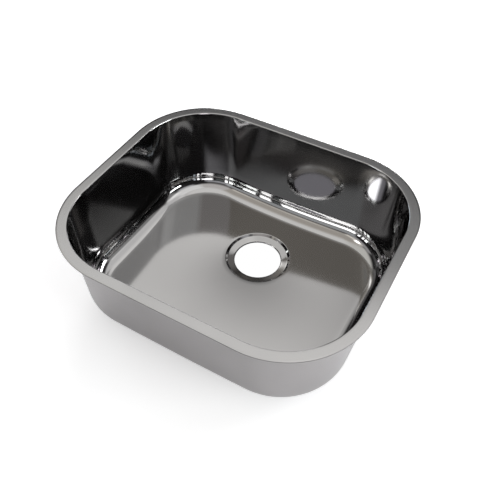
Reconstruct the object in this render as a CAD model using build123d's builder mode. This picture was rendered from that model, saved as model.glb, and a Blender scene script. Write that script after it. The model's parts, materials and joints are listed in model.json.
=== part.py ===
from build123d import *
import os
from math import cos, radians, sin, tan

# A single kitchen sink bowl, pressed from one stainless sheet, with rubber sound pads glued under its base.
# X runs along the long side, +Y towards the drain's side, Z up. The drain's lip ends at Z = 0.

# Flange: sizes over its outer edge, its width in to the wall's inner face, and the bend's radius underneath
flange_length = 534.0
flange_depth = 460.0
flange_corner = 143.0
flange_width = 18.0
flange_bend = 0.4

# Sheet and walls: the draft is the lean of the walls, in degrees
sheet = 1.2
wall_draft = 3.35
bowl_depth = 185.4
base_fillet = 37.0

# Base: it falls as a shallow cone towards the drain, which stands behind the middle of the bowl
base_fall = 3.87
drain_back = 69.0

# Drain recess: its edge, the drop and slope of its steep wall, and the bends on the sheet's top face
recess_radius = 61.6
recess_drop = 4.1
recess_slope = 45.0
recess_bend = 2.0
foot_bend = 1.5

# Drain hole: the seat slopes in to a lip that turns straight down
hole_radius = 44.5
seat_slope = 10.0
lip_bend = 2.0
lip_straight = 1.2

# Sound pads: the glue under the base, the margin to the fillet, and the room left round the recess
pad_thickness = 3.0
pad_glue = 0.3
pad_margin = 14.0
pad_clear = 30.0
pad_gap = 20.0
pad_corner = 12.0

# Heights, from the end of the drain's lip up to the flange's top face
seat_run = recess_radius - recess_drop / tan(radians(recess_slope)) - hole_radius
seat_drop = seat_run * tan(radians(seat_slope))
lip_turn = lip_bend * tan(radians(90.0 - seat_slope) / 2)
recess_height = lip_straight + lip_turn + seat_drop + recess_drop
rim_height = recess_height + bowl_depth

# The bowl's mouth, the level part of the base, and a reach past the whole bowl for cuts
mouth_length = flange_length - 2 * flange_width
mouth_depth = flange_depth - 2 * flange_width
mouth_corner = flange_corner - flange_width
base_inset = bowl_depth * tan(radians(wall_draft)) + base_fillet
reach = flange_length + flange_depth

drain_plane = Plane.XZ.offset(-drain_back)
drain_axis = Axis((0, drain_back, 0), (0, 0, 1))


def mitre(corner, slope_out, slope_in, drop):
    """Move a corner of the base's section down by drop, square to the lines that meet there."""
    out_x, out_z = sin(radians(slope_out)), -cos(radians(slope_out))
    in_x, in_z = sin(radians(slope_in)), -cos(radians(slope_in))
    share = drop / (1 + out_x * in_x + out_z * in_z)
    return (corner[0] + share * (out_x + in_x), corner[1] + share * (out_z + in_z))


def base_section(drop, lip_end):
    """Return the region under the base's section, drop below the sheet's top face, out from the drain's lip."""
    edge = (recess_radius, recess_height)
    foot = (hole_radius + seat_run, recess_height - recess_drop)
    lip = (hole_radius, recess_height - recess_drop - seat_drop)
    edge = mitre(edge, base_fall, recess_slope, drop)
    foot = mitre(foot, recess_slope, seat_slope, drop)
    lip = mitre(lip, seat_slope, 90.0, drop)
    far = (reach, edge[1] + (reach - edge[0]) * tan(radians(base_fall)))
    end = (lip[0], lip_end)
    bends = [recess_bend - drop, foot_bend + drop, lip_bend - drop]
    with BuildSketch(drain_plane) as section:
        with BuildLine():
            FilletPolyline(far, edge, foot, lip, end, radius=bends)
            Polyline(end, (reach, lip_end), far)
        make_face()
    return section.sketch


def bowl_form(skin, bottom):
    """Return the solid that fills the bowl, skin outside the sheet's inner face, down to bottom."""
    grow = 2 * skin / cos(radians(wall_draft))
    with BuildPart() as form:
        with BuildSketch(Plane.XY.offset(rim_height)):
            RectangleRounded(mouth_length + grow, mouth_depth + grow, mouth_corner + grow / 2)
        extrude(amount=bottom - rim_height, taper=wall_draft)
        revolve(base_section(skin, bottom), axis=drain_axis, mode=Mode.SUBTRACT)
        base = form.faces().filter_by(GeomType.CONE).sort_by(SortBy.AREA)[-1]
        fillet(base.outer_wire().edges(), base_fillet + skin)
    return form.part


outer_form = bowl_form(sheet, 0.0)
inner_form = bowl_form(0.0, -lip_straight)

# Bowl: the flange and the outer form, hollowed by the inner form, with the flange's bend rounded on both sides
with BuildPart() as bowl:
    with BuildSketch(Plane.XY.offset(rim_height)):
        RectangleRounded(flange_length, flange_depth, flange_corner)
    extrude(amount=-sheet)
    add(outer_form)
    add(inner_form, mode=Mode.SUBTRACT)
    level_faces = bowl.faces().filter_by(Axis.Z).group_by(Axis.Z)
    flange_top = level_faces[-1].sort_by(SortBy.AREA)[-1]
    flange_under = level_faces[-2].sort_by(SortBy.AREA)[-1]
    fillet(flange_top.inner_wires()[0].edges(), flange_bend + sheet)
    fillet(flange_under.inner_wires()[0].edges(), flange_bend)

bowl.part.label = "bowl"
os.makedirs("parts", exist_ok=True)
export_step(bowl.part, "parts/bowl.step")

# Sound pads: slices of a cone that lies under the base, cut to the base's outline clear of the recess
pad_length = mouth_length - 2 * (base_inset + pad_margin)
pad_depth = mouth_depth - 2 * (base_inset + pad_margin)
pad_round = mouth_corner - base_inset - pad_margin
front_edge = drain_back - recess_radius - pad_clear
side_edge = recess_radius + pad_clear


def pad_section():
    """Return the section of the cone that the pads are cut from, a layer of glue below the sheet."""
    fall = tan(radians(base_fall))
    top = recess_height - (sheet + pad_glue) / cos(radians(base_fall))
    under = top - pad_thickness / cos(radians(base_fall))
    rise = (reach - recess_radius) * fall
    near, far = recess_radius, reach
    with BuildSketch(drain_plane) as section:
        Polygon((near, top), (near, under), (far, under + rise), (far, top + rise), align=None)
    return section.sketch


def pad_outline(corner, side):
    """Return the base's outline on one side of a corner point, with every corner of it rounded."""
    with BuildSketch() as outline:
        shrink = 2 * pad_corner
        RectangleRounded(pad_length - shrink, pad_depth - shrink, pad_round - pad_corner)
        with Locations(corner):
            Rectangle(pad_length, pad_depth, align=side, mode=Mode.INTERSECT)
        offset(amount=pad_corner, kind=Kind.ARC)
    return outline.sketch


with BuildPart() as sound_pad_front:
    revolve(pad_section(), axis=drain_axis)
    front_outline = pad_outline((0, front_edge - pad_corner), (Align.CENTER, Align.MAX))
    extrude(front_outline, amount=rim_height, mode=Mode.INTERSECT)

sound_pad_front.part.label = "sound_pad_front"
export_step(sound_pad_front.part, "parts/sound_pad_front.step")

with BuildPart() as sound_pad_right:
    revolve(pad_section(), axis=drain_axis)
    side_corner = (side_edge + pad_corner, front_edge + pad_gap + pad_corner)
    side_outline = pad_outline(side_corner, (Align.MIN, Align.MIN))
    extrude(side_outline, amount=rim_height, mode=Mode.INTERSECT)

sound_pad_right.part.label = "sound_pad_right"
export_step(sound_pad_right.part, "parts/sound_pad_right.step")

with BuildPart() as sound_pad_left:
    mirror(sound_pad_right.part, about=Plane.YZ)

sound_pad_left.part.label = "sound_pad_left"
export_step(sound_pad_left.part, "parts/sound_pad_left.step")
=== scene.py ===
import json
from math import atan, cos, radians, sin, tan
from typing import NamedTuple

import bmesh
import bpy
from bpy.props import FloatProperty, FloatVectorProperty, IntProperty, PointerProperty
from mathutils import Matrix, Vector


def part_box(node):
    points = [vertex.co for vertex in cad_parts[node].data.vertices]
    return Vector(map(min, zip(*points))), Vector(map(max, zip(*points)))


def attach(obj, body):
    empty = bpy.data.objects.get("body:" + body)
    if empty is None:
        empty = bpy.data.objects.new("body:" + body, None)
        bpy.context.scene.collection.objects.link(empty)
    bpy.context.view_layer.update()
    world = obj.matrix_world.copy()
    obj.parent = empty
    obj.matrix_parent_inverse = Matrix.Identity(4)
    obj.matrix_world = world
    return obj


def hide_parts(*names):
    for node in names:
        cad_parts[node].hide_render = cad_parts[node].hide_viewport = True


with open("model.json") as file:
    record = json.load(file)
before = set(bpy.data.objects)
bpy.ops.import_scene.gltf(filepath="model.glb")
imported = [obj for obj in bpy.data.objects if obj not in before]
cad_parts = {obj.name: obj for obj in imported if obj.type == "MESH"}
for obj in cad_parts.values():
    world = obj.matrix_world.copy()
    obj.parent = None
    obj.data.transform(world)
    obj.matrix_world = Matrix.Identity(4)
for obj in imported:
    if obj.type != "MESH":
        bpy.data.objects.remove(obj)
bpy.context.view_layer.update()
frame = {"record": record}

bl_info = {
    "name": "Pressed Sink Bowl",
    "version": (1, 0, 0),
    "blender": (4, 5, 0),
    "location": "View3D > Sidebar > Sink",
    "description": "Presses a stainless sink bowl, glues its sound pads and sets it in a studio",
    "category": "Object",
}

# What the frame gives: the bowl's box, the drain hole's place and radius, the rubber's colour
BOWL_LOW, BOWL_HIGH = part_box("bowl")
DRAIN_HOLE = next(mount for mount in frame["record"]["mounts"] if mount["name"] == "drain_hole")
RUBBER = next(row for row in frame["record"]["materials"] if row["slot"] == "pad_rubber")

# How finely the stretches of the bowl's section, the pads and the floor are divided
FLANGE_STEPS = 5
BEND_STEPS = 10
WALL_STEPS = 12
FILLET_STEPS = 24
BASE_STEPS = 24
RECESS_STEPS = 6
SEAT_STEPS = 5
LIP_STEPS = 10
CUT_STEPS = 3
PAD_EDGE_STEPS = 6
PAD_RINGS = 8
PAD_CORNER_POINTS = 13
PAD_SIDE_STEPS = 16
FLOOR_SIDES = 96

QUARTER = radians(90)
# Rounds after which the middle of the base's fillet no longer moves
SETTLING_ROUNDS = 12
# Cosine above which two directions count as one, and the distance within which two points do
SAME_WAY = 0.9999
SAME_PLACE = 1e-6


class SinkSizes(bpy.types.PropertyGroup):
    """The pressing's sizes, in metres and radians, measured on the sheet's upper face."""

    flange_length: FloatProperty(
        name="Flange length", description="Outside of the flange along X", unit="LENGTH",
        default=BOWL_HIGH.x - BOWL_LOW.x)
    flange_depth: FloatProperty(
        name="Flange depth", description="Outside of the flange along Y", unit="LENGTH",
        default=BOWL_HIGH.y - BOWL_LOW.y)
    rim_height: FloatProperty(
        name="Rim height", description="Flange's upper face above the drain lip's end", unit="LENGTH",
        default=BOWL_HIGH.z)
    flange_corner: FloatProperty(
        name="Flange corner", description="Radius of the flange's outer corners", unit="LENGTH",
        default=0.143)
    flange_width: FloatProperty(
        name="Flange width", description="Outer edge to the wall's inner face", unit="LENGTH",
        default=0.018)
    flange_bend: FloatProperty(
        name="Flange bend", description="Radius where the flange turns into the wall", unit="LENGTH",
        default=0.0016)
    sheet: FloatProperty(
        name="Sheet", description="Thickness of the sheet", unit="LENGTH", default=0.0012)
    cut_edge: FloatProperty(
        name="Cut edge", description="Rounding of the sheet's trimmed edges", unit="LENGTH", default=0.0003)
    wall_draft: FloatProperty(
        name="Wall draft", description="Lean of the walls", subtype="ANGLE", default=radians(3.35))
    bowl_depth: FloatProperty(
        name="Bowl depth", description="Flange's upper face to the drain recess's edge", unit="LENGTH",
        default=0.1854)
    base_fillet: FloatProperty(
        name="Base fillet", description="Radius between the walls and the base", unit="LENGTH",
        default=0.037)
    base_fall: FloatProperty(
        name="Base fall", description="Slope of the base towards the drain", subtype="ANGLE",
        default=radians(3.87))
    drain_back: FloatProperty(
        name="Drain place", description="Drain behind the middle of the bowl", unit="LENGTH",
        default=DRAIN_HOLE["pos_m"][1])
    hole_radius: FloatProperty(
        name="Drain hole", description="Radius of the open drain hole", unit="LENGTH",
        default=DRAIN_HOLE["dims"]["r_mm"] / 1000)
    recess_radius: FloatProperty(
        name="Recess radius", description="Radius of the drain recess's edge", unit="LENGTH",
        default=0.0616)
    recess_drop: FloatProperty(
        name="Recess drop", description="Depth of the recess's steep wall", unit="LENGTH", default=0.0041)
    recess_slope: FloatProperty(
        name="Recess slope", description="Slope of the recess's steep wall", subtype="ANGLE",
        default=radians(45))
    recess_bend: FloatProperty(
        name="Recess bend", description="Radius at the recess's edge", unit="LENGTH", default=0.002)
    foot_bend: FloatProperty(
        name="Foot bend", description="Radius at the foot of the steep wall", unit="LENGTH", default=0.0015)
    seat_slope: FloatProperty(
        name="Seat slope", description="Slope of the seat round the hole", subtype="ANGLE",
        default=radians(10))
    lip_bend: FloatProperty(
        name="Lip bend", description="Radius where the seat turns down", unit="LENGTH", default=0.002)
    pad_corner: FloatProperty(
        name="Pad corner", description="Radius of a sound pad's corners beside the drain", unit="LENGTH",
        default=0.012)
    pad_margin: FloatProperty(
        name="Pad margin", description="Sound pads to the start of the base's fillet", unit="LENGTH",
        default=0.014)
    pad_thickness: FloatProperty(
        name="Pad thickness", description="Thickness of a sound pad", unit="LENGTH", default=0.003)
    pad_glue: FloatProperty(
        name="Pad glue", description="Film of glue between a pad and the base", unit="LENGTH", default=0.0003)
    pad_edge: FloatProperty(
        name="Pad edge", description="Rounding of a pad's lower edge", unit="LENGTH", default=0.0011)
    corner_steps: IntProperty(
        name="Corner steps", description="Faces round each corner", default=40, min=4)
    side_steps: IntProperty(
        name="Side steps", description="Faces along each straight side", default=32, min=1)


class SinkFinish(bpy.types.PropertyGroup):
    """The colours of the steel and the rubber, how rough each finish is and where it turns into the next, and
    the painted shade on the front bend and where the outside turns under.
    """

    steel_colour: FloatVectorProperty(
        name="Steel", description="Colour of the stainless steel", subtype="COLOR", size=3,
        default=(0.62, 0.615, 0.61))
    polished_colour: FloatVectorProperty(
        name="Polished steel", description="Colour of the mirror-polished walls", subtype="COLOR", size=3,
        default=(0.3, 0.298, 0.296))
    drain_colour: FloatVectorProperty(
        name="Drain steel", description="Colour of the drain's recess and seat", subtype="COLOR", size=3,
        default=(0.54, 0.535, 0.53))
    outside_colour: FloatVectorProperty(
        name="Outside steel", description="Colour of the dull, drawn outside", subtype="COLOR", size=3,
        default=(0.5, 0.485, 0.49))
    edge_colour: FloatVectorProperty(
        name="Edge steel", description="Colour of the flange's trimmed edge", subtype="COLOR", size=3,
        default=(0.16, 0.158, 0.157))
    mirror: FloatProperty(
        name="Mirror", description="Roughness of the polished walls", subtype="FACTOR", default=0.08)
    bright: FloatProperty(
        name="Bright", description="Roughness of the fillet's bright polish", subtype="FACTOR", default=0.04)
    satin: FloatProperty(
        name="Satin", description="Roughness of the base", subtype="FACTOR", default=0.09)
    brushed: FloatProperty(
        name="Brushed", description="Roughness of the flange", subtype="FACTOR", default=0.145)
    drain: FloatProperty(
        name="Drain", description="Roughness of the drain's recess and seat", subtype="FACTOR", default=0.06)
    edge: FloatProperty(
        name="Edge", description="Roughness of the flange's trimmed edge", subtype="FACTOR",
        default=0.36)
    drawn: FloatProperty(
        name="Drawn", description="Roughness of the bowl's outside", subtype="FACTOR", default=0.17)
    bright_share: FloatProperty(
        name="Bright share", description="How near the fillet's polish comes to the base's colour",
        subtype="FACTOR", default=0.45)
    bright_start: FloatProperty(
        name="Bright start", description="Slope of the fillet where the polish starts to brighten",
        subtype="ANGLE", default=radians(4))
    bright_full: FloatProperty(
        name="Bright full", description="Slope of the fillet where the bright polish is full",
        subtype="ANGLE", default=radians(9))
    satin_start: FloatProperty(
        name="Satin start", description="Slope of the fillet where the polish starts to turn satin",
        subtype="ANGLE", default=radians(34))
    satin_full: FloatProperty(
        name="Satin full", description="Slope of the fillet where the satin is full", subtype="ANGLE",
        default=radians(40))
    bend_full: FloatProperty(
        name="Bend full", description="Slope of the flange's bend where its satin is full", subtype="ANGLE",
        default=radians(17.5))
    # Painted shade: the flange's bend is darkened along the front of the bowl, where it faces the rear, to
    # dim its reflection
    bend_shading_rate: FloatProperty(
        name="Bend shading rate", description="How soon the bend's painted shade sets in as it faces the rear", default=8.0)
    bend_painted_shade: FloatProperty(
        name="Bend shade", description="What is left of the colour under the bend's painted shade", subtype="FACTOR",
        default=0.34)
    # Painted shade: the outside is darkened where it turns under, as a dark line along its lower edge
    under_shade_start: FloatProperty(
        name="Under shade start", description="Downward slope of the outside where its painted shade starts",
        subtype="ANGLE", default=radians(20))
    under_shade_full: FloatProperty(
        name="Under shade full", description="Downward slope of the outside where its painted shade is full",
        subtype="ANGLE", default=radians(36))
    painted_under_shade: FloatProperty(
        name="Under shade", description="What is left of the colour where the outside's painted shade is full",
        subtype="FACTOR", default=0.5)
    rubber_colour: FloatVectorProperty(
        name="Rubber", description="Colour of the sound pads", subtype="COLOR", size=3,
        default=RUBBER["base_color"])


class StudioSettings(bpy.types.PropertyGroup):
    """Where the camera stands, measured from the middle of the rim, and what the floor is like."""

    azimuth: FloatProperty(
        name="Azimuth", description="Camera round the bowl, from the front", subtype="ANGLE",
        default=radians(29.731))
    elevation: FloatProperty(
        name="Elevation", description="Camera above the rim", subtype="ANGLE", default=radians(48.038))
    roll: FloatProperty(
        name="Roll", description="Camera's tilt about its axis", subtype="ANGLE", default=radians(0.171))
    distance: FloatProperty(
        name="Distance", description="Camera to the rim's middle along its axis", unit="LENGTH",
        default=0.97452)
    aim_right: FloatProperty(
        name="Aim right", description="Camera's axis right of the rim's middle", unit="LENGTH",
        default=0.00008)
    aim_up: FloatProperty(
        name="Aim up", description="Camera's axis above the rim's middle", unit="LENGTH",
        default=-0.04733)
    lens: FloatProperty(
        name="Lens", description="Focal length on a 36 mm wide sensor", unit="CAMERA", default=45.027)
    floor_size: FloatProperty(
        name="Floor", description="Width of the round floor", unit="LENGTH", default=8.0)
    floor_colour: FloatVectorProperty(
        name="Floor colour", description="Colour of the floor", subtype="COLOR", size=3,
        default=(0.8, 0.8, 0.8))
    floor_lift: FloatProperty(
        name="Floor lift", description="White that the camera sees on the floor over its own light",
        default=0.5)
    floor_mirrored: FloatProperty(
        name="Floor mirrored", description="Share of the floor's lift that the steel shows", subtype="FACTOR",
        default=0.2)


class LightPanel(NamedTuple):
    """A soft panel far off, in degrees: azimuth 0 is behind the bowl and 90 on its right."""

    name: str
    azimuth: float
    elevation: float
    half_width: float
    half_height: float
    side_edge: float
    end_edge: float
    radiance: tuple


ALL_ROUND = 200.0
PANELS = (
    LightPanel("room", 0, 0, ALL_ROUND, 100, 1, 1, (0.022, 0.021, 0.022)),
    LightPanel("zenith", 0, 90, ALL_ROUND, 20, 1, 6, (0.8, 0.79, 0.78)),
    LightPanel("dome_rear_right", 30, 56, 22, 14, 6, 3, (0.66, 0.655, 0.655)),
    LightPanel("dome_right_corner", 60.5, 43.5, 16, 12, 5, 2.5, (0.27, 0.27, 0.27)),
    LightPanel("dome_rear", -6, 61.5, 14, 9.5, 9, 5, (0.84, 0.83, 0.82)),
    LightPanel("dome_rear_low", -5.5, 47.5, 8, 6.5, 3, 3, (0.26, 0.26, 0.26)),
    LightPanel("dome_rear_edge", -26, 40, 15, 5, 4, 2.5, (0.11, 0.11, 0.11)),
    LightPanel("dome_rear_left", -29.5, 57.5, 9.5, 12.5, 9, 8, (0.8, 0.79, 0.78)),
    LightPanel("dome_left_rear", -50.5, 55, 11.5, 16, 9, 7, (0.76, 0.755, 0.745)),
    LightPanel("dome_left", -88, 56, 26, 14, 9, 6, (0.66, 0.65, 0.62)),
    LightPanel("dome_right", 92, 58, 40, 12, 6, 4, (0.88, 0.88, 0.88)),
    LightPanel("dome_right_low", 101, 42, 18, 4, 6, 3, (0.45, 0.45, 0.47)),
    LightPanel("dome_front", 165, 57, 33, 13, 4, 5, (0.6, 0.575, 0.565)),
    LightPanel("dome_front_low", 172, 40, 24, 4, 5, 4, (0.15, 0.14, 0.14)),
    LightPanel("dome_front_left", -138, 58, 24, 12, 4, 5, (0.44, 0.41, 0.37)),
    LightPanel("dome_front_left_low", -138, 43, 20, 4, 5, 3, (0.8, 0.76, 0.7)),
    LightPanel("window_rear_left", -17, 17, 14, 8.5, 2, 2, (11.5, 11.5, 11.7)),
    LightPanel("window_rear", 9, 18, 8, 8, 3, 3, (0.45, 0.5, 0.5)),
    LightPanel("window_rear_right", 36, 18.5, 13, 9, 2, 2, (10.0, 10.0, 10.2)),
    LightPanel("window_right", 80, 16, 18, 8, 2, 2, (11.5, 12.0, 12.0)),
    LightPanel("window_right_top", 64, 27, 6, 3, 3, 2, (1.7, 1.6, 1.6)),
    LightPanel("window_left", -62, 17, 12, 6, 3, 3, (2.6, 2.9, 3.2)),
    LightPanel("front_fill", 180, 15, 16, 9, 6, 4, (0.25, 0.25, 0.26)),
    LightPanel("front_glow", 168, 27, 22, 5, 6, 3, (0.45, 0.45, 0.48)),
    LightPanel("front_left_glow", -160, 27.5, 14, 8.5, 4, 2, (0.38, 0.39, 0.4)),
    LightPanel("left_fill", -86, 16, 16, 12, 6, 5, (0.08, 0.08, 0.08)),
    LightPanel("left_glow", -124, 34.5, 22, 5, 4, 2, (0.34, 0.335, 0.34)),
    LightPanel("front_right_low", 150, 11, 6, 8, 3, 3, (7.0, 6.5, 7.0)),
    LightPanel("front_left_low", -148, 9, 8, 6, 3, 3, (4.5, 4.8, 5.0)),
    LightPanel("strip", -129, 45, 4, 4, 3, 3, (4.0, 4.0, 4.0)),
    LightPanel("under_drain", -138.5, -36, 9, 9, 4, 4, (3.7, 3.7, 3.8)),
    LightPanel("under_floor", -165, -22, 45, 20, 3, 3, (0.39, 0.38, 0.42)),
)


# Bowl: its section at one place of the rim, from the flange's edge to the drain's lip


def flange_stations(sizes):
    """Return the flange's outer edge as points, each with the direction in from it, once round."""
    corner = sizes.flange_corner
    reach_x = sizes.flange_length / 2 - corner
    reach_y = sizes.flange_depth / 2 - corner
    corners = [(reach_x, -reach_y), (reach_x, reach_y), (-reach_x, reach_y), (-reach_x, -reach_y)]
    stations = []
    for count, middle in enumerate(corners):
        middle = Vector(middle)
        start = radians(90 * count - 90)
        for step in range(sizes.corner_steps):
            angle = start + QUARTER * step / sizes.corner_steps
            out = Vector((cos(angle), sin(angle)))
            stations.append((middle + corner * out, -out))
        out = Vector((cos(start + QUARTER), sin(start + QUARTER)))
        side = Vector(corners[(count + 1) % len(corners)]) - middle
        for step in range(sizes.side_steps):
            stations.append((middle + corner * out + side * step / sizes.side_steps, -out))
    return stations


def arc(zone, centre, radius, start, end, steps, side=1):
    """Return the points of an arc in a section, with normals and zone; side -1 turns the normals in."""
    turned = []
    for step in range(steps + 1):
        angle = start + (end - start) * step / steps
        out = Vector((cos(angle), sin(angle)))
        turned.append((centre + radius * out, out * side, zone))
    return turned


def run(zone, start, end, normal, steps):
    """Return the points between the ends of a straight stretch of a section, with normal and zone."""
    return [(start.lerp(end, step / steps), normal, zone) for step in range(1, steps)]


def wall_section(sizes, edge, inward):
    """Return the section from the flange to the base, in (inset, height)."""
    draft, rim = sizes.wall_draft, sizes.rim_height
    lean = tan(draft)
    bend = sizes.flange_bend
    middle = Vector((sizes.flange_width + bend * lean - bend / cos(draft), rim - bend))
    level = Vector((0.0, 1.0))
    start = Vector((sizes.cut_edge, rim))
    flange = [(start, level, "flange")]
    flange += run("flange", start, Vector((middle.x, rim)), level, FLANGE_STEPS)
    turn = arc("bend", middle, bend, QUARTER, draft, BEND_STEPS)

    # The fillet's middle is its radius from the wall and from the falling base below it
    fillet = sizes.base_fillet
    drain = Vector((0.0, sizes.drain_back))
    slope, height = 0.0, rim - sizes.bowl_depth + fillet
    for _ in range(SETTLING_ROUNDS):
        inset = sizes.flange_width + (rim - height) * lean + fillet / cos(draft)
        foot = edge + inward * (inset - fillet * sin(slope)) - drain
        slope = atan(tan(sizes.base_fall) * -foot.dot(inward) / foot.length)
        floor = rim - sizes.bowl_depth + (foot.length - sizes.recess_radius) * tan(sizes.base_fall)
        height = floor + fillet * cos(slope)
    hollow = arc("fillet", Vector((inset, height)), fillet, radians(180) + draft, radians(270) - slope,
                 FILLET_STEPS, -1)
    wall = run("wall", turn[-1][0], hollow[0][0], turn[-1][1], WALL_STEPS)
    return flange + turn + wall + hollow


def drain_section(sizes):
    """Return the section from the base to the end of the drain's lip, in (radius, height)."""
    fall, steep, seat = sizes.base_fall, sizes.recess_slope, sizes.seat_slope
    edge = Vector((sizes.recess_radius, sizes.rim_height - sizes.bowl_depth))
    foot = edge - Vector((sizes.recess_drop / tan(steep), sizes.recess_drop))
    lip = Vector((sizes.hole_radius, foot.y - (foot.x - sizes.hole_radius) * tan(seat)))

    def bend(zone, corner, radius, slope_out, slope_in, steps, side):
        """Round a corner of the section; side is 1 where the arc's middle lies under the sheet, else -1."""
        halfway = (slope_in + slope_out) / 2
        away = Vector((sin(halfway), -cos(halfway))) * side
        centre = corner + away * radius / cos((slope_in - slope_out) / 2)
        return arc(zone, centre, radius, slope_out + QUARTER * side, slope_in + QUARTER * side, steps, side)

    edge_turn = bend("recess", edge, sizes.recess_bend, fall, steep, RECESS_STEPS, 1)
    foot_turn = bend("recess", foot, sizes.foot_bend, steep, seat, RECESS_STEPS, -1)
    lip_turn = bend("lip", lip, sizes.lip_bend, seat, QUARTER, LIP_STEPS, 1)
    end = Vector((sizes.hole_radius, sizes.cut_edge))
    seat_run = run("seat", foot_turn[-1][0], lip_turn[0][0], foot_turn[-1][1], SEAT_STEPS)
    straight = [(end, lip_turn[-1][1], "lip")]
    return edge_turn + foot_turn + seat_run + lip_turn + straight


def stand_up(origin, way, section):
    """Return a section's points and normals in space, its first axis laid along way from origin."""
    placed = []
    for point, normal, zone in section:
        place = (origin + way * point.x).to_3d() + Vector((0, 0, point.y))
        placed.append((place, (way * normal.x).to_3d() + Vector((0, 0, normal.y)), zone))
    return placed


def sheet_loop(sizes, edge, inward, drain_face):
    """Return one closed line round the sheet at a station, upper face in and lower face back out."""
    drain = Vector((0.0, sizes.drain_back))
    upper = stand_up(edge, inward, wall_section(sizes, edge, inward))
    foot = upper[-1][0].to_2d() - drain
    spoke = foot.normalized()
    fall = sizes.base_fall
    near = drain_face[0][0]
    far = Vector((foot.length, near.y + (foot.length - near.x) * tan(fall)))
    base = run("base", far, near, Vector((-sin(fall), cos(fall))), BASE_STEPS)
    upper += stand_up(drain, spoke, base + drain_face)
    lower = [(point - normal * sizes.sheet, -normal, "outside") for point, normal, _ in reversed(upper)]

    # The trimmed edges: the lip's end below, the flange's outer edge above
    cut, sheet = sizes.cut_edge, sizes.sheet
    lip_turns = ((sizes.hole_radius + cut, 2 * QUARTER), (sizes.hole_radius + sheet - cut, 3 * QUARTER))
    rim_turns = ((sizes.rim_height - sheet + cut, 3 * QUARTER), (sizes.rim_height - cut, 2 * QUARTER))
    lip_end, rim_edge = [], []
    for middle, start in lip_turns:
        lip_end += arc("lip", Vector((middle, cut)), cut, start, start + QUARTER, CUT_STEPS)[:-1]
    for height, start in rim_turns:
        rim_edge += arc("rim", Vector((cut, height)), cut, start, start - QUARTER, CUT_STEPS)[:-1]
    return upper + stand_up(drain, spoke, lip_end[1:]) + lower + stand_up(edge, inward, rim_edge[1:])


def deselect_all():
    """Leave nothing selected, so that an operator acts on its own piece alone."""
    bpy.ops.object.select_all(action="DESELECT")


# Point attribute of a skin: 0 where mirror-polished and 1 where satin; below 0 it is painted shade, down to
# -1, on the front bend and where the outside turns under
SATIN_AND_SHADE = "satin"


def skin(name, loops, closed):
    """Lay a grid along the loops, one column for each, close its ends and return the piece."""
    around, along = len(loops), len(loops[0])
    rows = along if closed else along - 1
    deselect_all()
    bpy.ops.mesh.primitive_grid_add(x_subdivisions=around, y_subdivisions=rows, size=1.0)
    piece = bpy.context.object
    piece.name = piece.data.name = name
    piece.data.attributes.new(SATIN_AND_SHADE, "FLOAT", "POINT")
    bpy.ops.object.mode_set(mode="EDIT")
    grid = bmesh.from_edit_mesh(piece.data)
    satin = grid.verts.layers.float[SATIN_AND_SHADE]

    # The grid is one wide about the origin: its columns stand for the loops, its rows for their points
    for face in grid.faces:
        step = int((face.calc_center_median().y + 0.5) * rows)
        face.material_index = loops[0][step][1]
    for vert in grid.verts:
        turn = round((vert.co.x + 0.5) * around) % around
        step = round((vert.co.y + 0.5) * rows) % along
        vert.co, _, vert[satin] = loops[turn][step]
    bmesh.update_edit_mesh(piece.data)
    bpy.ops.mesh.select_all(action="SELECT")
    bpy.ops.mesh.remove_doubles(threshold=SAME_PLACE)
    bpy.ops.mesh.normals_make_consistent(inside=False)
    bpy.ops.object.mode_set(mode="OBJECT")
    bpy.ops.object.shade_smooth()
    return piece


# The bowl's material slots in their order, and the slot of each zone of its section
FLANGE, INSIDE, DRAIN, OUTSIDE, EDGE = range(5)
ZONE_FINISH = {
    "flange": FLANGE, "bend": INSIDE, "wall": INSIDE, "fillet": INSIDE, "base": INSIDE,
    "recess": DRAIN, "seat": DRAIN, "lip": DRAIN, "outside": OUTSIDE, "rim": EDGE}


def smooth_rise(value, start, full):
    """Return 0 up to start and 1 from full on, with a smooth rise between."""
    share = min(max((value - start) / (full - start), 0.0), 1.0)
    return share * share * (3 - 2 * share)


def satin_and_shade_share(finish, zone, normal):
    """Return a point's share of satin; below 0 it is painted shade, on the front bend and under the outside.
    """
    if zone in ("base", "recess"):
        return 1.0
    if zone == "bend":
        share = max(1.0 - finish.bend_shading_rate * max(normal.y, 0.0), -1.0)
        return share * smooth_rise(normal.z, sin(finish.bright_start), sin(finish.bend_full))
    if zone == "outside":
        return -smooth_rise(-normal.z, sin(finish.under_shade_start), sin(finish.under_shade_full))
    if zone != "fillet":
        return 0.0
    bright = finish.bright_share * smooth_rise(normal.z, sin(finish.bright_start), sin(finish.bright_full))
    satin = smooth_rise(normal.z, sin(finish.satin_start), sin(finish.satin_full))
    return bright + (1.0 - bright) * satin


def press_bowl(sizes, finish):
    """Press the sheet: a closed line round it at every station of the rim."""
    drain_face = drain_section(sizes)
    loops = []
    for edge, inward in flange_stations(sizes):
        line = sheet_loop(sizes, edge, inward, drain_face)
        loops.append([(place, ZONE_FINISH[zone], satin_and_shade_share(finish, zone, normal))
                      for place, normal, zone in line])
    return skin("pressed_bowl", loops, True)


# Sound pads: rounded slabs that lie along the underside of the falling base


def pad_outline(low, high, radii, corner_points):
    """Return a pad's outline as points with the direction in from it, its corners from the front right on."""
    corners = [(high.x, low.y), (high.x, high.y), (low.x, high.y), (low.x, low.y)]
    points = []
    for count, (corner, radius) in enumerate(zip(corners, radii)):
        start = radians(90 * count - 90)
        turn = Vector((cos(start), sin(start))) + Vector((-sin(start), cos(start)))
        middle = Vector(corner) - turn * radius
        for step in range(corner_points):
            angle = start + QUARTER * step / (corner_points - 1)
            out = Vector((cos(angle), sin(angle)))
            points.append((middle + radius * out, -out))
    return points


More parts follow.
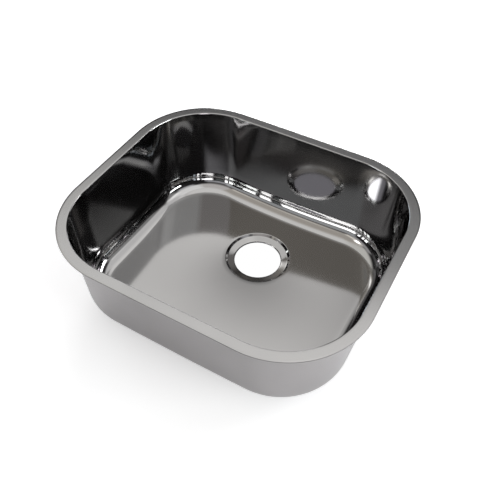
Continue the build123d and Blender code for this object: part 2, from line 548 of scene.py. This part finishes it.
def fill_sides(points, steps):
    """Return an outline with its straight sides divided, so that a slab can follow the base's cone."""
    filled = []
    for count, (point, inward) in enumerate(points):
        filled.append((point, inward))
        after, after_inward = points[(count + 1) % len(points)]
        if inward.dot(after_inward) > SAME_WAY:
            filled += [(point.lerp(after, step / steps), inward) for step in range(1, steps)]
    return filled


def pad_loops(sizes, outline):
    """Return lines over a pad, from the middle of its upper face round its edge to the middle below."""
    fall = sizes.base_fall
    drain = Vector((0.0, sizes.drain_back))
    top = sizes.rim_height - sizes.bowl_depth - (sizes.sheet + sizes.pad_glue) / cos(fall)
    upper, lower = sizes.cut_edge, sizes.pad_edge
    edge = arc("pad", Vector((upper, upper)), upper, 3 * QUARTER, 2 * QUARTER, CUT_STEPS)
    below = Vector((lower, sizes.pad_thickness - lower))
    edge += arc("pad", below, lower, 2 * QUARTER, QUARTER, PAD_EDGE_STEPS)
    middle = sum((point for point, _ in outline), Vector((0.0, 0.0))) / len(outline)
    loops = []
    for point, inward in outline:
        places = [((point + inward * upper - middle) * ring / PAD_RINGS + middle, 0.0)
                  for ring in range(PAD_RINGS)]
        places += [(point + inward * turn.x, turn.y) for turn, _, _ in edge]
        places += [((point + inward * lower - middle) * ring / PAD_RINGS + middle, sizes.pad_thickness)
                   for ring in reversed(range(PAD_RINGS))]
        line = []
        for place, depth in places:
            rise = ((place - drain).length - sizes.recess_radius) * tan(fall)
            line.append((place.to_3d() + Vector((0, 0, top + rise - depth / cos(fall))), 0, 0.0))
        loops.append(line)
    return loops


def glue_pad(sizes, node):
    """Make the pad that stands for a node, with large corners where the base's own corners are."""
    low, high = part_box(node)
    inset = sizes.bowl_depth * tan(sizes.wall_draft) + sizes.base_fillet + sizes.pad_margin
    wide = sizes.flange_corner - sizes.flange_width - inset
    reach_x = sizes.flange_length / 2 - sizes.flange_width - inset
    reach_y = sizes.flange_depth / 2 - sizes.flange_width - inset
    radii = []
    for x, y in ((high.x, low.y), (high.x, high.y), (low.x, high.y), (low.x, low.y)):
        at_corner = abs(abs(x) - reach_x) < sizes.pad_corner and abs(abs(y) - reach_y) < sizes.pad_corner
        radii.append(wide if at_corner else sizes.pad_corner)
    outline = fill_sides(pad_outline(low, high, radii, PAD_CORNER_POINTS), PAD_SIDE_STEPS)
    return skin("rubber_" + node.removeprefix("sound_"), pad_loops(sizes, outline), False)


# Materials

# Stretches of the noise that hold most of its values
GRAIN_SPAN = (0.3, 0.7)
CLOUD_SPAN = (0.35, 0.65)
# How far the inside's colour is clouded, and the height of the base's grain in metres
INSIDE_CLOUDING = 0.015
BASE_GRAIN = 0.0000015
# The rubber's darkest and lightest tint, its smoothest and roughest spots and its pebbles' height
RUBBER_TINTS = (0.8, 1.25)
RUBBER_ROUGHNESS = (0.62, 0.9)
PEBBLE_HEIGHT = 0.0004


def add_node(tree, kind, inputs=None, **settings):
    """Add a node with its settings, and fill each named input with a value or a link."""
    node = tree.nodes.new(kind)
    for key, value in settings.items():
        setattr(node, key, value)
    for key, value in (inputs or {}).items():
        if isinstance(value, bpy.types.NodeSocket):
            tree.links.new(value, node.inputs[key])
        else:
            node.inputs[key].default_value = value
    return node


def new_group(name, inputs, outputs):
    """Start a shader node group with float sockets; return it with its input and output nodes."""
    group = bpy.data.node_groups.new(name, "ShaderNodeTree")
    for label, default in inputs.items():
        socket = group.interface.new_socket(label, in_out="INPUT", socket_type="NodeSocketFloat")
        socket.default_value = default
    for label in outputs:
        group.interface.new_socket(label, in_out="OUTPUT", socket_type="NodeSocketFloat")
    return group, group.nodes.new("NodeGroupInput"), group.nodes.new("NodeGroupOutput")


def grain_group():
    """Return the group for fine grain and broad clouds on a surface, by Object coordinates."""
    if "surface_grain" in bpy.data.node_groups:
        return bpy.data.node_groups["surface_grain"]
    group, given, out = new_group(
        "surface_grain", {"Grain Scale": 900.0, "Stretch": 1.0, "Cloud Scale": 14.0}, ("Grain", "Cloud"))
    place = add_node(group, "ShaderNodeTexCoord").outputs["Object"]
    shrink = add_node(group, "ShaderNodeMath", {0: 1.0, 1: given.outputs["Stretch"]}, operation="DIVIDE")
    scale = add_node(group, "ShaderNodeCombineXYZ", {"X": shrink.outputs[0], "Y": 1.0, "Z": 1.0})
    drawn = add_node(group, "ShaderNodeVectorMath", {0: place, 1: scale.outputs[0]}, operation="MULTIPLY")
    grain = add_node(group, "ShaderNodeTexNoise", {
        "Vector": drawn.outputs[0], "Scale": given.outputs["Grain Scale"], "Detail": 2.0})
    cloud = add_node(group, "ShaderNodeTexNoise", {
        "Vector": place, "Scale": given.outputs["Cloud Scale"], "Detail": 3.0})
    group.links.new(grain.outputs["Fac"], out.inputs["Grain"])
    group.links.new(cloud.outputs["Fac"], out.inputs["Cloud"])
    return group


def map_range(tree, value, low, high, start, end):
    """Return value brought from the range start to end into the range low to high."""
    return add_node(tree, "ShaderNodeMapRange", {
        "Value": value, "From Min": start, "From Max": end, "To Min": low, "To Max": high}).outputs["Result"]


def mix_colour(tree, factor, first, second):
    """Return a colour between two, as sockets or values."""
    return add_node(tree, "ShaderNodeMix", {"Factor": factor, "A": first, "B": second},
                    data_type="RGBA").outputs["Result"]


def start_material(name, **grain_values):
    """Return a new material's tree and shader, with a grain group of its own values."""
    material = bpy.data.materials.new(name)
    material.use_nodes = True
    tree = material.node_tree
    grain = add_node(tree, "ShaderNodeGroup", node_tree=grain_group())
    for label, value in grain_values.items():
        grain.inputs[label.replace("_", " ").title()].default_value = value
    return material, tree, tree.nodes["Principled BSDF"], grain


def tinted(colour, share):
    """Return a colour made lighter or darker, with alpha."""
    return tuple(channel * share for channel in colour) + (1.0,)


def satin_and_shade_mask(tree):
    """Return the share of satin that a skin carries from point to point, and below 0 its painted shade."""
    return add_node(tree, "ShaderNodeAttribute", attribute_name=SATIN_AND_SHADE).outputs["Fac"]


def darken_by_painted_shade(tree, satin, colour, share):
    """Return a colour with painted shade, darker down to a share of itself where the mask falls to -1."""
    shade = map_range(tree, satin, share, 1.0, -1.0, 0.0)
    return add_node(tree, "ShaderNodeVectorMath", {0: colour, "Scale": shade}, operation="SCALE").outputs[0]


def steel(name, metal, painted_under_shade, clouding, roughness, spread, relief, **grain_values):
    """Return a steel whose roughness spreads with its grain and whose colour is clouded, with painted shade
    where its skin's mask is below 0.
    """
    material, tree, shader, grain = start_material(name, **grain_values)
    shader.inputs["Metallic"].default_value = 1.0
    colour = mix_colour(tree, map_range(tree, grain.outputs["Cloud"], 0.0, 1.0, *CLOUD_SPAN),
                        tinted(metal, 1 - clouding), tinted(metal, 1 + clouding))
    # Painted shade: the colour darkens where the skin's mask is below 0, which is where the outside turns
    # under
    tree.links.new(darken_by_painted_shade(tree, satin_and_shade_mask(tree), colour, painted_under_shade), shader.inputs["Base Color"])
    rough = map_range(tree, grain.outputs["Grain"], roughness - spread, roughness + spread, *GRAIN_SPAN)
    tree.links.new(rough, shader.inputs["Roughness"])
    bump = add_node(tree, "ShaderNodeBump", {"Height": grain.outputs["Grain"], "Distance": relief})
    tree.links.new(bump.outputs["Normal"], shader.inputs["Normal"])
    return material


def inside_steel(finish):
    """Return the inside's steel: mirror-polished walls, a brighter fillet, a satin base and painted shade on
    the front bend.
    """
    material, tree, shader, grain = start_material("inside_steel", grain_scale=1400, stretch=6, cloud_scale=9)
    shader.inputs["Metallic"].default_value = 1.0
    satin = satin_and_shade_mask(tree)
    colour = mix_colour(tree, satin, tinted(finish.polished_colour, 1.0), tinted(finish.steel_colour, 1.0))
    shade = map_range(tree, grain.outputs["Cloud"], 1 - INSIDE_CLOUDING, 1 + INSIDE_CLOUDING, *CLOUD_SPAN)
    clouded = add_node(tree, "ShaderNodeVectorMath", {0: colour, "Scale": shade}, operation="SCALE")
    # Painted shade: the colour is darkened on the front bend, down to the bend's painted shade
    tree.links.new(darken_by_painted_shade(tree, satin, clouded.outputs[0], finish.bend_painted_shade), shader.inputs["Base Color"])
    fine = map_range(tree, satin, finish.mirror, finish.bright, 0.0, finish.bright_share)
    coarse = map_range(tree, satin, 0.0, finish.satin - finish.bright, finish.bright_share, 1.0)
    rough = add_node(tree, "ShaderNodeMath", {0: fine, 1: coarse}, operation="ADD")
    tree.links.new(rough.outputs[0], shader.inputs["Roughness"])
    height = add_node(tree, "ShaderNodeMath", {0: satin, 1: grain.outputs["Grain"]}, operation="MULTIPLY")
    bump = add_node(tree, "ShaderNodeBump", {"Height": height.outputs[0], "Distance": BASE_GRAIN})
    tree.links.new(bump.outputs["Normal"], shader.inputs["Normal"])
    return material


def pad_rubber(finish):
    """Return the pads' dull, pebbled rubber."""
    material, tree, shader, grain = start_material("pad_rubber", grain_scale=420, cloud_scale=30)
    dark, light = (tinted(finish.rubber_colour, tint) for tint in RUBBER_TINTS)
    colour = mix_colour(tree, map_range(tree, grain.outputs["Cloud"], 0.0, 1.0, *GRAIN_SPAN), dark, light)
    tree.links.new(colour, shader.inputs["Base Color"])
    rough = map_range(tree, grain.outputs["Grain"], *RUBBER_ROUGHNESS, *GRAIN_SPAN)
    tree.links.new(rough, shader.inputs["Roughness"])
    bump = add_node(tree, "ShaderNodeBump", {"Height": grain.outputs["Grain"], "Distance": PEBBLE_HEIGHT})
    tree.links.new(bump.outputs["Normal"], shader.inputs["Normal"])
    return material


class SINK_OT_press_bowl(bpy.types.Operator):
    """Press the bowl: flange, walls, base, drain recess and lip, in one sheet"""

    bl_idname = "sink.press_bowl"
    bl_label = "Press Bowl"

    def execute(self, context):
        finish = context.scene.sink_finish
        bowl = press_bowl(context.scene.sink_sizes, finish)
        # Painted shade where the outside turns under; only the outside's skin carries it
        shade = finish.painted_under_shade
        finishes = {
            FLANGE: steel(
                "flange_steel", finish.steel_colour, shade, clouding=0.02, roughness=finish.brushed,
                spread=0.03, relief=0.000006, grain_scale=1500, stretch=4, cloud_scale=12),
            INSIDE: inside_steel(finish),
            DRAIN: steel(
                "drain_steel", finish.drain_colour, shade, clouding=0.02, roughness=finish.drain,
                spread=0.01, relief=0.000001, grain_scale=900, stretch=1, cloud_scale=30),
            OUTSIDE: steel(
                "outside_steel", finish.outside_colour, shade, clouding=0.05, roughness=finish.drawn,
                spread=0.05, relief=0.000004, grain_scale=700, stretch=8, cloud_scale=8),
            EDGE: steel(
                "edge_steel", finish.edge_colour, shade, clouding=0.02, roughness=finish.edge,
                spread=0.05, relief=0.00001, grain_scale=1200, stretch=1, cloud_scale=40)}
        for slot in sorted(finishes):
            bowl.data.materials.append(finishes[slot])
        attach(bowl, "root")
        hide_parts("bowl")
        return {"FINISHED"}


class SINK_OT_glue_pads(bpy.types.Operator):
    """Glue the rubber sound pads under the base, in front of the drain and on both sides of it"""

    bl_idname = "sink.glue_pads"
    bl_label = "Glue Sound Pads"

    def execute(self, context):
        rubber = pad_rubber(context.scene.sink_finish)
        for node in ("sound_pad_front", "sound_pad_left", "sound_pad_right"):
            pad = glue_pad(context.scene.sink_sizes, node)
            pad.data.materials.append(rubber)
            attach(pad, "root")
            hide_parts(node)
        return {"FINISHED"}


# Studio

WHITE = (1.0, 1.0, 1.0, 1.0)
# Half a turn in degrees, and the width of the camera's sensor in millimetres
HALF_TURN = 180.0
SENSOR_WIDTH = 36.0


def panel_group():
    """Return the group that masks one soft-edged panel of the surroundings, in degrees."""
    group, given, out = new_group("soft_panel", {
        "Azimuth": 0.0, "Elevation": 0.0, "Panel Azimuth": 0.0, "Panel Elevation": 0.0, "Half Width": 10.0,
        "Half Height": 10.0, "Side Edge": 2.0, "End Edge": 2.0}, ("Mask",))
    given = given.outputs
    around = add_node(group, "ShaderNodeMath", {0: given["Azimuth"], 1: given["Panel Azimuth"]},
                      operation="SUBTRACT").outputs[0]
    around = add_node(group, "ShaderNodeMath", {0: around, 1: HALF_TURN, 2: -HALF_TURN},
                      operation="WRAP").outputs[0]
    above = add_node(group, "ShaderNodeMath", {0: given["Elevation"], 1: given["Panel Elevation"]},
                     operation="SUBTRACT").outputs[0]
    masks = []
    for offset, half, edge in ((around, given["Half Width"], given["Side Edge"]),
                               (above, given["Half Height"], given["End Edge"])):
        away = add_node(group, "ShaderNodeMath", {0: offset}, operation="ABSOLUTE").outputs[0]
        near = add_node(group, "ShaderNodeMath", {0: half, 1: edge}, operation="SUBTRACT").outputs[0]
        far = add_node(group, "ShaderNodeMath", {0: half, 1: edge}, operation="ADD").outputs[0]
        masks.append(add_node(group, "ShaderNodeMapRange", {
            "Value": away, "From Min": near, "From Max": far, "To Min": 1.0, "To Max": 0.0},
            interpolation_type="SMOOTHSTEP").outputs["Result"])
    both = add_node(group, "ShaderNodeMath", {0: masks[0], 1: masks[1]}, operation="MULTIPLY")
    group.links.new(both.outputs[0], out.inputs["Mask"])
    return group


def hang_panels():
    """Light the world by the panels; the camera itself sees plain white."""
    world = bpy.data.worlds.new("studio_light")
    world.use_nodes = True
    tree = world.node_tree
    tree.nodes.clear()
    ray = add_node(tree, "ShaderNodeSeparateXYZ", {
        "Vector": add_node(tree, "ShaderNodeTexCoord").outputs["Generated"]}).outputs
    around = add_node(tree, "ShaderNodeMath", {0: ray["X"], 1: ray["Y"]}, operation="ARCTAN2").outputs[0]
    above = add_node(tree, "ShaderNodeMath", {0: ray["Z"]}, operation="ARCSINE").outputs[0]
    azimuth = add_node(tree, "ShaderNodeMath", {0: around}, operation="DEGREES").outputs[0]
    elevation = add_node(tree, "ShaderNodeMath", {0: above}, operation="DEGREES").outputs[0]
    mask_group = panel_group()
    light = (0.0, 0.0, 0.0)
    for panel in PANELS:
        mask = add_node(tree, "ShaderNodeGroup", {
            "Azimuth": azimuth, "Elevation": elevation, "Panel Azimuth": panel.azimuth,
            "Panel Elevation": panel.elevation, "Half Width": panel.half_width,
            "Half Height": panel.half_height, "Side Edge": panel.side_edge, "End Edge": panel.end_edge},
            node_tree=mask_group).outputs["Mask"]
        light = add_node(tree, "ShaderNodeVectorMath", {0: mask, 1: panel.radiance, 2: light},
                         operation="MULTIPLY_ADD", name=panel.name).outputs[0]
    by_camera = add_node(tree, "ShaderNodeLightPath").outputs["Is Camera Ray"]
    background = add_node(tree, "ShaderNodeBackground", {"Color": mix_colour(tree, by_camera, light, WHITE)})
    add_node(tree, "ShaderNodeOutputWorld", {"Surface": background.outputs[0]})
    bpy.context.scene.world = world


def lay_floor(studio, sizes):
    """Lay a pale floor, open under the drain; the camera, and in part the steel, sees it lifted to white."""
    deselect_all()
    bpy.ops.mesh.primitive_circle_add(
        vertices=FLOOR_SIDES, radius=studio.floor_size / 2, location=(0, sizes.drain_back, 0))
    floor = bpy.context.object
    floor.name = floor.data.name = "studio_floor"
    bpy.ops.object.mode_set(mode="EDIT")
    bpy.ops.mesh.select_all(action="SELECT")
    bpy.ops.mesh.extrude_edges_move()
    shrink = 2 * sizes.hole_radius / studio.floor_size
    bpy.ops.transform.resize(value=(shrink, shrink, 1), center_override=(0, sizes.drain_back, 0))
    bpy.ops.mesh.select_all(action="SELECT")
    bpy.ops.mesh.normals_make_consistent(inside=False)
    bpy.ops.object.mode_set(mode="OBJECT")
    material = bpy.data.materials.new("studio_floor")
    material.use_nodes = True
    tree = material.node_tree
    tree.nodes.clear()
    path = add_node(tree, "ShaderNodeLightPath").outputs
    mirrored = add_node(tree, "ShaderNodeMath", {0: path["Is Glossy Ray"], 1: studio.floor_mirrored},
                        operation="MULTIPLY").outputs[0]
    seen = path["Is Camera Ray"]
    for share in (mirrored, path["Is Transmission Ray"]):
        seen = add_node(tree, "ShaderNodeMath", {0: seen, 1: share}, operation="MAXIMUM").outputs[0]
    lift = add_node(tree, "ShaderNodeMath", {0: seen, 1: studio.floor_lift}, operation="MULTIPLY").outputs[0]
    paint = add_node(tree, "ShaderNodeBsdfDiffuse", {"Color": tinted(studio.floor_colour, 1.0)}).outputs[0]
    glow = add_node(tree, "ShaderNodeEmission", {"Strength": lift}).outputs[0]
    lit = add_node(tree, "ShaderNodeAddShader", {0: paint, 1: glow}).outputs[0]
    below = add_node(tree, "ShaderNodeNewGeometry").outputs["Backfacing"]
    clear = add_node(tree, "ShaderNodeBsdfTransparent").outputs[0]
    surface = add_node(tree, "ShaderNodeMixShader", {0: below, 1: lit, 2: clear}).outputs[0]
    add_node(tree, "ShaderNodeOutputMaterial", {"Surface": surface})
    floor.data.materials.append(material)


def place_camera(studio, sizes):
    """Stand the camera at its angle, with its axis a little off the middle of the rim."""
    azimuth, elevation = studio.azimuth, studio.elevation
    back = Vector((sin(azimuth) * cos(elevation), -cos(azimuth) * cos(elevation), sin(elevation)))
    right = Vector((cos(azimuth), sin(azimuth), 0.0))
    up = back.cross(right)
    right, up = (right * cos(studio.roll) + up * sin(studio.roll),
                 up * cos(studio.roll) - right * sin(studio.roll))
    place = Vector((0.0, 0.0, sizes.rim_height)) + back * studio.distance
    place += right * studio.aim_right + up * studio.aim_up
    deselect_all()
    bpy.ops.object.camera_add(location=place)
    camera = bpy.context.object
    camera.name = "photo_camera"
    camera.rotation_euler = Matrix((right, up, back)).transposed().to_euler()
    camera.data.lens = studio.lens
    camera.data.sensor_width = SENSOR_WIDTH
    bpy.context.scene.camera = camera
    bpy.context.scene.view_settings.view_transform = "Standard"


class SINK_OT_set_studio(bpy.types.Operator):
    """Lay the floor, hang the light panels and stand the camera where the bowl is seen from"""

    bl_idname = "sink.set_studio"
    bl_label = "Set Studio"

    def execute(self, context):
        lay_floor(context.scene.sink_studio, context.scene.sink_sizes)
        hang_panels()
        place_camera(context.scene.sink_studio, context.scene.sink_sizes)
        return {"FINISHED"}


class SINK_PT_sidebar(bpy.types.Panel):
    """The sink's operators, sizes, finish and studio"""

    bl_label = "Pressed Sink Bowl"
    bl_idname = "SINK_PT_sidebar"
    bl_space_type = "VIEW_3D"
    bl_region_type = "UI"
    bl_category = "Sink"

    def draw(self, context):
        for operator in OPERATORS:
            self.layout.operator(operator.bl_idname)
        for settings in (context.scene.sink_sizes, context.scene.sink_finish, context.scene.sink_studio):
            box = self.layout.box()
            for label in settings.__annotations__:
                box.prop(settings, label)


OPERATORS = (SINK_OT_press_bowl, SINK_OT_glue_pads, SINK_OT_set_studio)
CLASSES = (SinkSizes, SinkFinish, StudioSettings) + OPERATORS + (SINK_PT_sidebar,)


def register():
    """Add the classes and the settings that the scene keeps."""
    for cls in CLASSES:
        bpy.utils.register_class(cls)
    bpy.types.Scene.sink_sizes = PointerProperty(type=SinkSizes)
    bpy.types.Scene.sink_finish = PointerProperty(type=SinkFinish)
    bpy.types.Scene.sink_studio = PointerProperty(type=StudioSettings)


def unregister():
    """Take the settings and the classes away again."""
    del bpy.types.Scene.sink_studio
    del bpy.types.Scene.sink_finish
    del bpy.types.Scene.sink_sizes
    for cls in reversed(CLASSES):
        bpy.utils.unregister_class(cls)


def main():
    """Build every piece and the studio in order."""
    register()
    bpy.ops.sink.press_bowl()
    bpy.ops.sink.glue_pads()
    bpy.ops.sink.set_studio()


if __name__ == "__main__":
    main()
